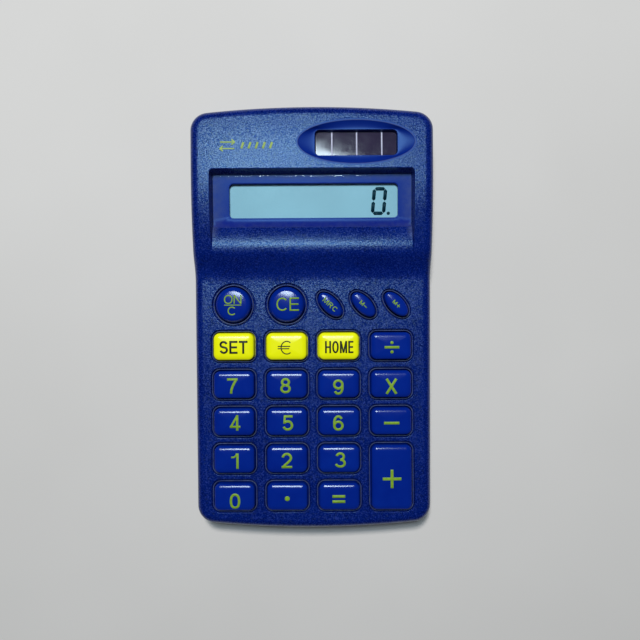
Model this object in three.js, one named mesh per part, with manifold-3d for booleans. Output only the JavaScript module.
// Pocket calculator with a sunken display, a solar cell and 24 travelling keys.
// Millimetres, +Z up. Origin: centre of the resting face. +Y runs towards the display end.
import * as THREE from "three";
import { mergeVertices } from "three/addons/utils/BufferGeometryUtils.js";
import Module from "manifold-3d";

const wasm = await Module();
wasm.setup();

// ---------- shell dimensions ----------
const HALF_W = 33.9; // half width at the display end
const SIDE_TAPER = 0.6; // how much narrower each side is at the keypad end
const HALF_L = 59.0;
const HEAD_EXTRA = 0.4; // the display end reaches this much further than the keypad end
const BOW_R = 285; // bowed ends
const CORNER_R = 5.4;
const ARC_STEPS = 5; // segments in each corner and in each half of a bowed end
const WALL = 1.7;
const PART_Z = 5.0; // parting line
const LOWER_TOP = PART_Z - 0.15; // rim of the lower half
const KEY_PLANE = 10.5; // top face round the keys
const CREST = 16.0; // highest point of the display end
const CREST_Y = 40.0;
const CROWN_R = 220; // lengthwise radius beyond the crest
const BROW_R = 91; // gentle fall from the crest towards the keys
const RAMP_START = 11.2; // the steep face between the keys and the display
const RAMP_END = 20.8;
const EDGE_R = 2.4; // rounding of the upper edge
const EDGE_DRAFT = 0.35;
const BASE_R = 2.0; // rounding of the lower edge
const BASE_DRAFT = 0.1;
const ROUNDING_ANGLES = [0, 30, 60, 90];

// cutters run out to these planes, clear of the body
const BELOW = -1;
const ABOVE = 22;
const PAST_END = 62;

// ---------- board and membrane heights ----------
const PCB_BOTTOM = 3.4;
const PCB_TOP = 4.6;
const SHEET_TOP = 5.6;
const DOME_TOP = 7.45;

// ---------- screws ----------
// each row stands for a mirrored pair, left (-X) first
const mirrored = (rows) =>
  rows.flatMap(([x, ...rest]) => [
    [-x, ...rest],
    [x, ...rest],
  ]);
// x, y, radius of the boss in the top cover, radius of the tube in the bottom cover
const CASE_SCREWS = mirrored([
  [29.4, 47, 1.8, 2.6],
  [27.2, 14.5, 2.3, 2.9],
  [14.6, -54.9, 1.8, 2.6],
]);
const MIDDLE_SCREWS = CASE_SCREWS.slice(2, 4); // these pass through the board
// x, y
const BOARD_SCREWS = mirrored([
  [14.6, -12.33],
  [14.6, -33.43],
]);
const CASE_SCREW = { headZ: 2.0, headRadius: 1.7, headHeight: 1.3, shankRadius: 0.92, tipZ: 8.0 };
const BOARD_SCREW = { headZ: 2.25, headRadius: 1.5, headHeight: 1.1, shankRadius: 0.76, tipZ: 7.2 };

// ---------- solids and meshes ----------
// manifold solid of a geometry; a solid passes through unchanged
function solid(shape) {
  if (!shape.isBufferGeometry) return shape;
  const bare = shape.clone();
  bare.deleteAttribute("normal");
  bare.deleteAttribute("uv");
  const merged = mergeVertices(bare, 1e-5);
  return new wasm.Manifold(
    new wasm.Mesh({
      numProp: 3,
      vertProperties: new Float32Array(merged.attributes.position.array),
      triVerts: new Uint32Array(merged.index.array),
    }),
  );
}
const join = (...shapes) => shapes.map(solid).reduce((sum, shape) => sum.add(shape));
const cut = (body, ...tools) =>
  tools.reduce((rest, tool) => rest.subtract(solid(tool)), solid(body));

function indexedGeometry(positions, indices) {
  const geometry = new THREE.BufferGeometry();
  geometry.setAttribute("position", new THREE.BufferAttribute(positions, 3));
  geometry.setIndex(indices);
  geometry.computeVertexNormals();
  return geometry;
}
function geometryOf(body) {
  const mesh = body.getMesh();
  const positions = new Float32Array(mesh.numVert * 3);
  for (let i = 0; i < mesh.numVert; i++)
    for (let k = 0; k < 3; k++)
      positions[i * 3 + k] = mesh.vertProperties[i * mesh.numProp + k];
  return indexedGeometry(
    positions,
    new THREE.BufferAttribute(new Uint32Array(mesh.triVerts), 1),
  );
}

// ---------- lofts ----------
// triangles that close a star-shaped ring
function fanCap(count) {
  const triangles = [];
  for (let i = 1; i < count - 1; i++) triangles.push([0, i, i + 1]);
  return triangles;
}
// triangles that close a ring whose point i mirrors point count - i about x = 0
function mirrorCap(count) {
  const triangles = [];
  const half = count / 2;
  for (let i = 0; i < half; i++) {
    const left = (count - i) % count;
    const nextLeft = count - i - 1;
    if (i < half - 1) triangles.push([i, i + 1, nextLeft]);
    if (i > 0) triangles.push([i, nextLeft, left]);
  }
  return triangles;
}
// closed surface through rings of equal length, each counter-clockwise from above, lowest first
function loft(rings, capOf = fanCap) {
  const count = rings[0].length;
  const top = (rings.length - 1) * count;
  const triangles = [];
  for (let start = 0; start < top; start += count)
    for (let i = 0; i < count; i++) {
      const here = start + i;
      const next = start + ((i + 1) % count);
      triangles.push([here, next, next + count], [here, next + count, here + count]);
    }
  for (const [a, b, c] of capOf(count))
    triangles.push([a, c, b], [top + a, top + b, top + c]);
  return indexedGeometry(new Float32Array(rings.flat(2)), triangles.flat());
}
const at = (ring, z) => ring.map(([x, y]) => [x, y, z]);

// ---------- plan rings ----------
const RAD = Math.PI / 180;
function roundRing(halfX, halfY, radius, centreX = 0, centreY = 0, segments = 2) {
  const ring = [];
  // corner signs and start angle
  const corners = [
    [1, -1, -90],
    [1, 1, 0],
    [-1, 1, 90],
    [-1, -1, 180],
  ];
  for (const [signX, signY, start] of corners)
    for (let i = 0; i <= segments; i++) {
      const angle = (start + (90 * i) / segments) * RAD;
      ring.push([
        centreX + signX * (halfX - radius) + radius * Math.cos(angle),
        centreY + signY * (halfY - radius) + radius * Math.sin(angle),
      ]);
    }
  return ring;
}
function ellipseRing(radiusX, radiusY, turn, centreX, centreY, count = 16) {
  const cos = Math.cos(turn * RAD);
  const sin = Math.sin(turn * RAD);
  return Array.from({ length: count }, (_, i) => {
    const angle = (2 * Math.PI * i) / count;
    const x = radiusX * Math.cos(angle);
    const y = radiusY * Math.sin(angle);
    return [centreX + x * cos - y * sin, centreY + x * sin + y * cos];
  });
}

// ---------- basic shapes ----------
function shapeOf(points) {
  const shape = new THREE.Shape();
  shape.moveTo(...points[0]);
  points.slice(1).forEach((point) => shape.lineTo(...point));
  shape.closePath();
  return shape;
}
const extrude = (points, options) =>
  new THREE.ExtrudeGeometry(shapeOf(points), { bevelEnabled: false, ...options });
const prism = (ring, zMin, zMax) => extrude(ring, { depth: zMax - zMin }).translate(0, 0, zMin);
// a (y, z) outline run across the width: shape x -> y, shape y -> z, depth -> x
const across = (points, xMin, xMax) =>
  extrude(points, { depth: xMax - xMin }).applyMatrix4(
    new THREE.Matrix4().set(0, 0, 1, xMin, 1, 0, 0, 0, 0, 1, 0, 0, 0, 0, 0, 1),
  );
const box = (xMin, xMax, yMin, yMax, zMin, zMax) =>
  new THREE.BoxGeometry(xMax - xMin, yMax - yMin, zMax - zMin).translate(
    (xMin + xMax) / 2,
    (yMin + yMax) / 2,
    (zMin + zMax) / 2,
  );
const rod = (x, y, zMin, zMax, radius, segments = 16) =>
  new THREE.CylinderGeometry(radius, radius, zMax - zMin, segments)
    .rotateX(Math.PI / 2)
    .translate(x, y, (zMin + zMax) / 2);
// lathed about Y from a (radius, height) profile that starts and ends on the axis
const lathe = (profile, segments) =>
  new THREE.LatheGeometry(
    profile.map((point) => new THREE.Vector2(...point)),
    segments,
  );
const turned = (profile, segments) => lathe(profile, segments).rotateX(Math.PI / 2);

// ---------- plan outline of the body ----------
const sideX = (y) => HALF_W - (SIDE_TAPER * (HALF_L - y)) / (2 * HALF_L);
// stations along the sides, close together on the steep face
const SIDE_YS = [-30, 0, 11.2, 12.6, 14, 15.3, 16.6, 18, 19.4, 20.8, 24, 28, 32, 36, 40, 48];
// points and normals up the right (+X) side, from mid keypad end to mid display end
function chainOf(sideYs) {
  const chain = [];
  const arc = (x, y, radius, from, to, firstStep = 0) => {
    for (let i = firstStep; i <= ARC_STEPS; i++) {
      const angle = from + ((to - from) * i) / ARC_STEPS;
      const normal = [Math.cos(angle), Math.sin(angle)];
      chain.push({ point: [x + radius * normal[0], y + radius * normal[1]], normal });
    }
  };
  // centres of an end's bow and corner, and the angle where they meet
  const endOf = (sign) => {
    const bowY = sign * (HALF_L - BOW_R) + (sign > 0 ? HEAD_EXTRA : 0);
    const cornerX = sideX(sign * (HALF_L - CORNER_R)) - CORNER_R;
    const rise = sign * Math.sqrt((BOW_R - CORNER_R) ** 2 - cornerX * cornerX);
    return { bowY, cornerX, cornerY: bowY + rise, angle: Math.atan2(rise, cornerX) };
  };
  const keypad = endOf(-1);
  arc(0, keypad.bowY, BOW_R, -Math.PI / 2, keypad.angle);
  arc(keypad.cornerX, keypad.cornerY, CORNER_R, keypad.angle, 0, 1);
  for (const y of sideYs) chain.push({ point: [sideX(y), y], normal: [1, 0] });
  const display = endOf(1);
  arc(display.cornerX, display.cornerY, CORNER_R, 0, display.angle);
  arc(0, display.bowY, BOW_R, display.angle, Math.PI / 2, 1);
  return chain;
}
const SIDED_CHAIN = chainOf(SIDE_YS);
const PLAIN_CHAIN = chainOf([0]);
function outline(inset, chain = PLAIN_CHAIN) {
  const right = chain.map(({ point, normal }) => [
    point[0] - inset * normal[0],
    point[1] - inset * normal[1],
  ]);
  right[0][0] = 0;
  right[right.length - 1][0] = 0;
  const left = right
    .slice(1, -1)
    .reverse()
    .map(([x, y]) => [-x, y]);
  return [...right, ...left];
}

// ---------- shell halves ----------
// height of the upper face along the length
function topZ(y) {
  const far = CREST - (y - CREST_Y) ** 2 / (2 * (y > CREST_Y ? CROWN_R : BROW_R));
  const ramp = Math.min(1, Math.max(0, (y - RAMP_START) / (RAMP_END - RAMP_START)));
  return KEY_PLANE + (far - KEY_PLANE) * ramp * ramp * (3 - 2 * ramp);
}
// flat foot at footZ, then [inset, offset from the upper face] levels that follow that face
function upperStack(footInset, footZ, levels) {
  const follow = ([inset, offset]) =>
    outline(inset, SIDED_CHAIN).map(([x, y]) => [x, y, topZ(y) + offset]);
  const foot = at(outline(footInset, SIDED_CHAIN), footZ);
  return solid(loft([foot, ...levels.map(follow)], mirrorCap));
}
const upperOuter = () =>
  upperStack(
    0,
    PART_Z,
    ROUNDING_ANGLES.map((angle) => [
      EDGE_DRAFT + EDGE_R * (1 - Math.cos(angle * RAD)),
      -EDGE_R + EDGE_R * Math.sin(angle * RAD),
    ]),
  );
const upperInner = () =>
  upperStack(WALL + 0.05, PART_Z - 0.5, [
    [WALL + 0.35, -WALL - 1.5],
    [WALL + 1.4, -WALL],
  ]);
// solid through [inset, z] levels of the body outline
const flatStack = (...levels) =>
  solid(loft(levels.map(([inset, z]) => at(outline(inset), z)), mirrorCap));
const lowerOuter = () =>
  flatStack(
    ...ROUNDING_ANGLES.map((angle) => [
      BASE_DRAFT + BASE_R * (1 - Math.sin(angle * RAD)),
      BASE_R - BASE_R * Math.cos(angle * RAD),
    ]),
    [0, LOWER_TOP],
  );

// ---------- materials ----------
const paint = ({ color, ...finish }) =>
  new THREE.MeshStandardMaterial({ color: new THREE.Color(...color), ...finish });
const MAT = {
  shell: paint({ color: [0.02, 0.06, 0.32], roughness: 0.55 }),
  blueKey: paint({ color: [0.02, 0.07, 0.46], roughness: 0.2 }),
  yellowKey: paint({ color: [0.85, 0.8, 0.03], roughness: 0.25 }),
  lens: paint({ color: [0.7, 0.8, 0.9], roughness: 0.05, transparent: true, opacity: 0.25 }),
  glass: paint({ color: [0.6, 0.7, 0.68], roughness: 0.08 }),
  polar: paint({ color: [0.42, 0.56, 0.55], roughness: 0.3 }),
  reflector: paint({ color: [0.7, 0.74, 0.72], roughness: 0.35, metalness: 0.4 }),
  black: paint({ color: [0.03, 0.03, 0.03], roughness: 0.6 }),
  rubber: paint({ color: [0.35, 0.36, 0.38], roughness: 0.8 }),
  board: paint({ color: [0.45, 0.28, 0.1], roughness: 0.5 }),
  silicon: paint({ color: [0.05, 0.035, 0.05], roughness: 0.12, metalness: 0.2 }),
  steel: paint({ color: [0.6, 0.6, 0.62], roughness: 0.3, metalness: 1 }),
  nickel: paint({ color: [0.68, 0.66, 0.62], roughness: 0.25, metalness: 1 }),
  red: paint({ color: [0.6, 0.03, 0.03], roughness: 0.5 }),
  wireBlack: paint({ color: [0.02, 0.02, 0.02], roughness: 0.5 }),
  holder: paint({ color: [0.75, 0.75, 0.72], roughness: 0.6 }),
  orange: paint({ color: [0.7, 0.55, 0.35], roughness: 0.5 }),
};

// ---------- keys ----------
const KEY_X = [-22.2, -7.45, 7.1, 21.75];
const KEY_Y = [-7.25, -17.9, -28.3, -38.75, -49.25];
const KEY_HALF_X = 5.65;
const KEY_HALF_Y = 3.8;
const KEY_CORNER = 1.7;
const KEY_TOP = 12.3;
const FLANGE_BOTTOM = 7.5;
const FLANGE_TOP = 8.7;
const KEY_GAP = 0.25;
const MOAT_DEPTH = 0.75;
// flange and moat reach beyond the key; dome radii are those of the membrane below it
const WIDE_FIT = { flange: 0.6, moat: 0.85, domeFoot: [3.3, 3.0], domePeak: [2.0, 1.8] };
const OVAL_FIT = { flange: 0.5, moat: 0.9, domeFoot: [2.6, 1.9], domePeak: [1.5, 1.2] };

// ring(out) is a key's plan outline grown outwards by out
const rectKey = (name, x, y, halfY = KEY_HALF_Y, material = MAT.blueKey) => ({
  ...{ name, x, y, material, turn: 0, fit: WIDE_FIT },
  ring: (out) => roundRing(KEY_HALF_X + out, halfY + out, Math.max(0.25, KEY_CORNER + out), x, y),
});
const ellipseKey = (name, x, y, radiusX, radiusY, turn, fit) => ({
  ...{ name, x, y, turn, fit, material: MAT.blueKey },
  ring: (out) => ellipseRing(radiusX + out, radiusY + out, turn, x, y),
});
const roundKey = (name, x, y) => ellipseKey(name, x, y, 5.0, 5.0, 0, WIDE_FIT);
const ovalKey = (name, x, y) => ellipseKey(name, x, y, 4.15, 2.2, -47, OVAL_FIT);

// rows from the display side down; the tall add key fills the end of the last two
const KEY_ROWS = [
  ["set", "foreign", "home", "divide"],
  ["7", "8", "9", "multiply"],
  ["4", "5", "6", "subtract"],
  ["1", "2", "3"],
  ["0", "point", "equals"],
];
const YELLOW_KEYS = ["set", "foreign", "home"];
const keys = [
  roundKey("key_on_clear", -22.3, 4.45),
  roundKey("key_clear_entry", -7.35, 4.45),
  ovalKey("key_memory_recall", 4.85, 4.3),
  ovalKey("key_memory_minus", 14.15, 4.3),
  ovalKey("key_memory_plus", 23.35, 4.4),
  ...KEY_ROWS.flatMap((row, j) =>
    row.map((label, i) => {
      const material = YELLOW_KEYS.includes(label) ? MAT.yellowKey : MAT.blueKey;
      return rectKey("key_" + label, KEY_X[i], KEY_Y[j], KEY_HALF_Y, material);
    }),
  ),
  rectKey(
    "key_add",
    KEY_X[3],
    (KEY_Y[3] + KEY_Y[4]) / 2,
    KEY_HALF_Y + (KEY_Y[3] - KEY_Y[4]) / 2,
  ),
];
const keyGeometry = ({ ring, fit }) =>
  loft([
    at(ring(fit.flange), FLANGE_BOTTOM),
    at(ring(fit.flange), FLANGE_TOP),
    at(ring(0), FLANGE_TOP),
    at(ring(-0.3), KEY_TOP - 0.25),
    at(ring(-0.85), KEY_TOP - 0.03),
  ]);

// ---------- display and solar cell frames ----------
const RECESS_HALF_X = 27.95;
const RECESS_START = 20.2; // the recess cutter starts here, on the steep face
const RECESS_END = 40.55;
const RECESS_DRAFT = 0.9; // lean of the wall at the display end
const LENS_START = 26.1;
const LENS_SLOPE = 0.0524; // display tilts 3 degrees towards the user
const LENS_START_Z = 12.6; // lens face at LENS_START
const LIP_SLOPE = 0.32;
const LIP_FOOT_Y = 26.04; // where the lip's slope reaches LENS_START_Z
const DISPLAY_Y = 33.35;
const lensZ = (y) => LENS_START_Z + (y - LENS_START) * LENS_SLOPE;
const seatZ = (y) => lensZ(y) - 1.0;
const DISPLAY_WINDOW = roundRing(23.5, 4.75, 1.2, 0.4, 0);

const SOLAR_X = 12.2;
const SOLAR_Y = 48.75;
const SOLAR_WINDOW = { halfX: 11.35, halfY: 3.55, corner: 1.3 };
const BOWL_RADII = [16.0, 5.95];
const BOWL_MARGIN = 0.12; // ledge between the bowl and the window

function tiltedFrame(x, y, z, tilt) {
  const frame = new THREE.Group();
  frame.position.set(x, y, z);
  frame.rotation.x = tilt;
  frame.updateMatrixWorld(true);
  return frame;
}
// both frames have their origin on the outer face, with +Z square to it
const displayFrame = tiltedFrame(0, DISPLAY_Y, lensZ(DISPLAY_Y), Math.atan(LENS_SLOPE));
const solarTilt = -Math.atan((SOLAR_Y - CREST_Y) / CROWN_R);
const solarFrame = tiltedFrame(SOLAR_X, SOLAR_Y, topZ(SOLAR_Y), solarTilt);
const inDisplay = (geometry) => geometry.applyMatrix4(displayFrame.matrixWorld);
const inSolar = (geometry) => geometry.applyMatrix4(solarFrame.matrixWorld);

// ---------- top cover ----------
// lip below the display: a straight fall to the lens, blended into the steep face
function lipZ(y) {
  const face = topZ(y);
  const fall = LENS_START_Z + LIP_SLOPE * (LIP_FOOT_Y - y);
  const blend = Math.max(1 - Math.abs(face - fall), 0);
  return Math.min(face, fall) - (blend * blend) / 4;
}
// material left in the cavity below the display recess
const recessBlock = () =>
  across(
    [
      [18.8, 10.6],
      [23.4, 10.6],
      [24.5, seatZ(24.5) - 1.3],
      [42.0, seatZ(42.0) - 1.3],
      [42.0, ABOVE],
      [18.8, ABOVE],
    ],
    -RECESS_HALF_X - 1.6,
    RECESS_HALF_X + 1.6,
  );
function displayRecess() {
  const lipEnd = LENS_START - 0.05;
  const wallTop = RECESS_END + RECESS_DRAFT;
  return across(
    [
      ...[RECESS_START, 20.8, 21.4, 22.0, 22.6, 23.3, lipEnd].map((y) => [y, lipZ(y)]),
      [lipEnd, seatZ(lipEnd)],
      [RECESS_END, seatZ(RECESS_END)],
      [wallTop, CREST],
      [wallTop, ABOVE],
      [RECESS_START, ABOVE],
    ],
    -RECESS_HALF_X,
    RECESS_HALF_X,
  );
}
// share of the way from the centre to (x, y) at which the bowl's inner outline is met
function innerShare(x, y) {
  const radius = SOLAR_WINDOW.corner + BOWL_MARGIN;
  let low = 0;
  let high = 1;
  for (let i = 0; i < 30; i++) {
    const middle = (low + high) / 2;
    const overX = Math.abs(x * middle) - (SOLAR_WINDOW.halfX + BOWL_MARGIN) + radius;
    const overY = Math.abs(y * middle) - (SOLAR_WINDOW.halfY + BOWL_MARGIN) + radius;
    const outside = Math.hypot(Math.max(overX, 0), Math.max(overY, 0));
    const distance = outside + Math.min(Math.max(overX, overY), 0) - radius;
    if (distance < 0) low = middle;
    else high = middle;
  }
  return low;
}
// bowl round the solar window: its rings pass from an ellipse to the window's outline
function solarBowl() {
  const rim = ellipseRing(...BOWL_RADII, 0, 0, 0, 48);
  const ringAt = (blend) =>
    rim.map(([x, y]) => {
      const scale = 1 - blend + blend * innerShare(x, y);
      return [x * scale, y * scale];
    });
  // blend towards the window's outline, z
  const levels = [
    [1, -0.95],
    [0.7, -0.87],
    [0.4, -0.62],
    [0.15, -0.29],
    [0, 0.0],
    [0, 3.0],
  ];
  return loft(levels.map(([blend, z]) => at(ringAt(blend), z)));
}
function topCover() {
  const solarBlock = inSolar(box(-17.0, 17.0, -7.0, 7.0, -2.4, 6));
  let body = cut(upperOuter(), cut(upperInner(), recessBlock(), solarBlock));

  // bored screw bosses under the plate
  for (const [x, y, bossRadius] of CASE_SCREWS) {
    body = join(body, rod(x, y, PART_Z + 0.2, topZ(y) - WALL + 0.5, bossRadius));
    body = cut(body, rod(x, y, PART_Z - 0.5, PART_Z + 3.6, 1.0, 12));
  }
  for (const [x, y] of BOARD_SCREWS) {
    body = join(body, rod(x, y, PCB_TOP + 0.05, KEY_PLANE - WALL + 0.4, 1.7, 12));
    body = cut(body, rod(x, y, PCB_TOP - 0.3, PCB_TOP + 3.3, 0.85, 10));
  }
  // rib framing the solar cell
  const rib = cut(
    inSolar(box(-15.9, 16.5, -6.7, 6.7, -3.15, -1.8)),
    inSolar(box(-14.55, 15.1, -5.65, 5.65, -4, -1.95)),
  );
  const { halfX, halfY, corner } = SOLAR_WINDOW;
  body = cut(
    join(body, rib),
    displayRecess(),
    inDisplay(prism(DISPLAY_WINDOW, -4, 1)),
    inSolar(solarBowl()),
    inSolar(prism(roundRing(halfX, halfY, corner), -4, 1)),
  );
  // key openings, each in a shallow moat
  for (const { ring, fit } of keys)
    body = cut(
      body,
      prism(ring(KEY_GAP), KEY_PLANE - WALL - 1, KEY_PLANE + 2),
      loft([
        at(ring(0.62), KEY_PLANE - MOAT_DEPTH),
        at(ring(fit.moat), KEY_PLANE),
        at(ring(fit.moat), KEY_PLANE + 1.5),
      ]),
    );
  return body;
}

// ---------- bottom cover and battery door ----------
const DOOR = { halfX: 9.3, tongueHalfX: 10.4, startY: 38.3, endWallY: 56.4 };
const DOOR_GAP = 0.2; // sideways clearance
const CELL = { x: 0, y: 49.0, radius: 5.8, bottom: 1.9, top: 7.3 };
const SUPPORTS = [
  [-25, -48], [25, -48],
  [-25, 2], [25, 2],
  [-25, 34], [25, 34],
  [0, -30],
];
// locating lip, with a gap round each boss of the upper half
const locatingLip = () =>
  cut(
    flatStack([1.66, LOWER_TOP - 1.2], [2.0, LOWER_TOP], [2.0, 6.3]),
    flatStack([2.8, LOWER_TOP - 2], [2.8, 8]),
    ...CASE_SCREWS.map(([x, y]) => rod(x, y, LOWER_TOP + 0.1, 8, 2.75)),
  );
// screw tubes, kept inside the shell and below the upper half's wall
function screwTubes() {
  const tubes = CASE_SCREWS.map(([x, y, , radius]) => rod(x, y, 0.4, PART_Z + 0.15, radius));
  const limit = flatStack(
    [1.2, 0.1],
    [0.6, 2.4],
    [0.6, LOWER_TOP - 0.4],
    [2.1, LOWER_TOP],
    [2.1, 9],
  );
  return join(...tubes).intersect(limit);
}
function bottomCover() {
  const cavity = flatStack([WALL + 0.6, 1.6], [WALL, 2.6], [WALL, 9]);
  let body = join(cut(lowerOuter(), cavity), locatingLip(), screwTubes());
  for (const [x, y] of CASE_SCREWS)
    body = cut(body, rod(x, y, BELOW, 3.35, 1.95), rod(x, y, 2, 6.5, 1.15, 12));
  // battery compartment: a block with a round well, open towards the door
  body = join(body, box(-11.9, 11.9, 42.0, 55.6, 1.0, 8.8));
  const openingX = DOOR.halfX + DOOR_GAP;
  const grooveX = DOOR.tongueHalfX + DOOR_GAP;
  body = cut(
    body,
    rod(CELL.x, CELL.y, 0, 7.9, 6.1, 32),
    box(5.0, 6.6, 47.0, 51.0, 1.0, 10), // positive contact slot
    box(-1.8, 1.8, 41, 48.0, 7.4, 8.15), // negative contact slot
    // door opening with side grooves, open at the end of the body
    box(-openingX, openingX, 38.0, PAST_END, BELOW, 1.78),
    box(-grooveX, grooveX, 38.0, PAST_END, 0.82, 1.78),
    box(-openingX, openingX, 56.0, PAST_END, BELOW, LOWER_TOP),
  );
  return join(body, ...SUPPORTS.map(([x, y]) => rod(x, y, 1.2, PCB_BOTTOM - 0.05, 1.5, 10)));
}
function batteryDoor() {
  const { halfX, tongueHalfX, startY, endWallY } = DOOR;
  const shell = lowerOuter();
  const skin = shell.intersect(solid(box(-halfX, halfX, startY, PAST_END, BELOW, 1.0)));
  const tongues = box(-tongueHalfX, tongueHalfX, startY, endWallY, 0.95, 1.6);
  const endBlock = box(-halfX, halfX, endWallY, PAST_END, BELOW, PART_Z - 0.45);
  const endWall = cut(shell.intersect(solid(endBlock)), box(-8.0, 8.0, 50, 57.2, 1.6, 9));
  // thumb grip: three shallow grooves
  const grooves = [41.2, 42.6, 44.0].map((y) => box(-4.5, 4.5, y - 0.3, y + 0.3, BELOW, 0.35));
  return cut(join(skin, tongues, endWall), ...grooves);
}

// ---------- board and membrane ----------
const circuitBoard = () =>
  cut(
    box(-29, 29, -52.0, 40.5, PCB_BOTTOM, PCB_TOP),
    ...MIDDLE_SCREWS.map(([x, y]) => rod(x, y, 2, 6, 3.2)),
    ...BOARD_SCREWS.map(([x, y]) => rod(x, y, 2, 6, 0.95, 10)),
  );
function membraneDome({ x, y, turn, fit }) {
  const foot = ellipseRing(...fit.domeFoot, turn, x, y, 8);
  const peak = ellipseRing(...fit.domePeak, turn, x, y, 8);
  return loft([at(foot, SHEET_TOP - 0.3), at(peak, SHEET_TOP + 1.25), at(peak, DOME_TOP)]);
}
const membrane = () =>
  cut(
    join(
      prism(roundRing(28.6, 31.4, 1.5, 0, -20.6), PCB_TOP, SHEET_TOP),
      ...keys.map(membraneDome),
    ),
    ...BOARD_SCREWS.map(([x, y]) => rod(x, y, 3, 9, 1.95, 12)),
  );

// ---------- display parts, in the display frame ----------
const lcdCell = () =>
  join(box(-25.6, 26.4, -8.2, 6.9, -3.45, -2.55), box(-25.6, 26.4, -5.8, 6.9, -4.35, -3.4));
const lcdHolder = () =>
  cut(
    box(-28.0, 28.0, -9.9, 7.9, -5.6, -2.36),
    box(-25.9, 26.7, -8.5, 7.15, -4.68, -1), // pocket for the cell
    box(-24.5, 25.3, -8.5, -6.0, -8, -1), // slot for the contact strip
    box(-23.5, 24.3, -4.6, 5.2, -8, -1), // opening behind the reflector
  );
const contactStrip = () =>
  across([[25.3, PCB_TOP], [27.0, PCB_TOP], [27.0, 9.08], [25.3, 9.0]], -23.6, 24.4);

// ---------- electronics ----------
const LEAD_RADIUS = 0.38;
const PART_LIFT = 0.06; // gap between the board and the parts lying on it

function lead(points) {
  const path = new THREE.CatmullRomCurve3(points.map((point) => new THREE.Vector3(...point)));
  const ring = ellipseRing(LEAD_RADIUS, LEAD_RADIUS, 0, 0, 0, 6);
  return extrude(ring, { steps: 10, extrudePath: path });
}
// lays a part turned about Y down along X on the board
const layOnBoard = (part, x, y, radius) =>
  part.rotateZ(Math.PI / 2).translate(x, y, PCB_TOP + radius + PART_LIFT);
const capacitor = (x, y, radius, length) =>
  layOnBoard(new THREE.CylinderGeometry(radius, radius, length, 14), x, y, radius);
// barrel with a wire at each end; reach is half the overall length
function axialPart(x, y, radius, reach) {
  const wire = 0.25;
  const profile = [
    [0, -reach],
    [wire, -reach],
    [wire, -reach * 0.45],
    [radius, -reach * 0.4],
    [radius, reach * 0.4],
    [wire, reach * 0.45],
    [wire, reach],
    [0, reach],
  ];
  return layOnBoard(lathe(profile, 10), x, y, radius);
}
// shallow dome on the underside of the board
function chipCover() {
  const profile = [[0, 0], [2.2, 0.1], [3.9, 0.5], [4.9, 1.15], [0, 1.15]];
  return solid(turned(profile, 20).translate(5, 20, 2.22));
}

// ---------- battery ----------
function buttonCell() {
  const { x, y, radius, bottom, top } = CELL;
  const profile = [
    [0, bottom],
    [radius - 0.3, bottom],
    [radius, bottom + 0.3],
    [radius, top - 0.75],
    [radius - 0.5, top - 0.45],
    [radius - 1.1, top - 0.45],
    [radius - 1.3, top],
    [0, top],
  ];
  return solid(turned(profile, 32).translate(x, y, 0));
}
const positiveContact = () =>
  join(box(5.88, 6.18, 47.4, 50.6, 2.3, 9.0), box(5.88, 6.18, 48.4, 49.6, 8.9, 9.9));
// strip bent from over the cell down to the board
const negativeContact = () =>
  across(
    [
      [41.86, 7.56], [41.86, 4.64],
      [38.2, 4.64], [38.2, 4.94],
      [41.58, 4.94], [41.58, 7.82],
      [51.5, 7.82], [51.5, 7.56],
    ],
    -1.4,
    1.4,
  );

// pan-head screw pointing up, with a cross recess in its head
function screw(x, y, { headZ, headRadius, headHeight, shankRadius, tipZ }) {
  const length = tipZ - headZ;
  const profile = [
    [0, 0],
    [headRadius * 0.72, 0],
    [headRadius, headHeight * 0.45],
    [headRadius, headHeight],
    [shankRadius, headHeight],
    [shankRadius, length - 0.6],
    [0.25, length],
    [0, length],
  ];
  const reach = headRadius * 0.55;
  const halfSlot = 0.22;
  const slot = (halfX, halfY) =>
    box(x - halfX, x + halfX, y - halfY, y + halfY, headZ - 1, headZ + headHeight * 0.55);
  return cut(
    turned(profile, 12).translate(x, y, headZ),
    slot(reach, halfSlot),
    slot(halfSlot, reach),
  );
}

// ---------- the assembly ----------
const calculator = new THREE.Group();
calculator.add(displayFrame, solarFrame);
function put(name, shape, material, parent = calculator) {
  const geometry = shape.isBufferGeometry ? shape : geometryOf(shape);
  const mesh = new THREE.Mesh(geometry, material);
  mesh.name = name;
  parent.add(mesh);
}

put("top_cover", topCover(), MAT.shell);
put("bottom_cover", bottomCover(), MAT.shell);
put("battery_door", batteryDoor(), MAT.shell);
for (const key of keys) put(key.name, keyGeometry(key), key.material);

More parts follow.
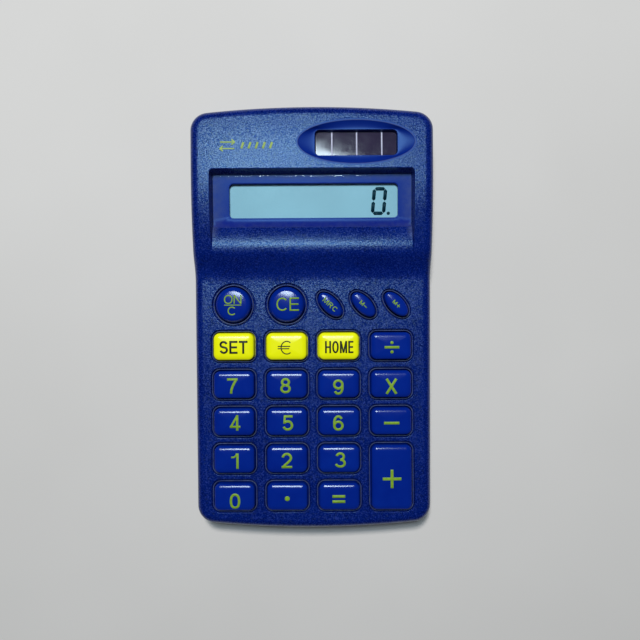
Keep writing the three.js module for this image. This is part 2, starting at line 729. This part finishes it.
const lens = prism(roundRing(27.6, 6.98, 0.4, 0, -0.2), -0.98, 0);
const polarizer = prism(roundRing(25.6, 5.8, 0.3, 0.4, 0.4, 1), -2.53, -2.35);
const reflector = box(-25.2, 26.0, -5.4, 6.5, -4.6, -4.38);
put("display_lens", lens, MAT.lens, displayFrame);
put("lcd_front_polarizer", polarizer, MAT.polar, displayFrame);
put("lcd_cell", lcdCell(), MAT.glass, displayFrame);
put("lcd_reflector", reflector, MAT.reflector, displayFrame);
put("lcd_holder", lcdHolder(), MAT.holder, displayFrame);
put("contact_strip", contactStrip(), MAT.rubber);

put("solar_cell", box(-14.3, 14.86, -5.4, 5.4, -3.08, -2.43), MAT.silicon, solarFrame);
// points on the centre lines of the leads, ending on the board
const SOLAR_RED = [
  [25.2, 48.7, 12.3], [25.2, 48.0, 10.2], [25.2, 44.2, 7.4],
  [24.6, 42.2, 5.8], [24.2, 39.6, 5.02],
];
const SOLAR_BLACK = [
  [-0.3, 48.7, 12.25], [-1.5, 48.2, 10.7], [-9.0, 46.6, 9.9],
  [-13.6, 44.6, 8.4], [-13.8, 42.2, 6.0], [-13.4, 39.6, 5.02],
];
const BATTERY_RED = [
  [6.62, 49.0, 9.5], [8.2, 48.6, 9.9], [13.0, 45.6, 9.0],
  [13.9, 42.4, 6.4], [13.4, 39.6, 5.02],
];
put("solar_lead_red", lead(SOLAR_RED), MAT.red);
put("solar_lead_black", lead(SOLAR_BLACK), MAT.wireBlack);

put("circuit_board", circuitBoard(), MAT.board);
put("keypad_membrane", membrane(), MAT.rubber);
put("chip_cover", chipCover(), MAT.black);
put("smoothing_capacitor", capacitor(-12, 17.4, 2.0, 6.4), MAT.black);
put("timing_resistor", axialPart(8, 17.4, 0.9, 4.2), MAT.orange);
put("limiter_diode", axialPart(19, 15.4, 0.8, 3.6), MAT.black);

put("button_cell", buttonCell(), MAT.nickel);
put("battery_contact_positive", positiveContact(), MAT.nickel);
put("battery_contact_negative", negativeContact(), MAT.nickel);
put("battery_lead_red", lead(BATTERY_RED), MAT.red);

CASE_SCREWS.forEach(([x, y], i) =>
  put("case_screw_" + (i + 1), screw(x, y, CASE_SCREW), MAT.steel),
);
BOARD_SCREWS.forEach(([x, y], i) =>
  put("board_screw_" + (i + 1), screw(x, y, BOARD_SCREW), MAT.steel),
);

export default calculator;
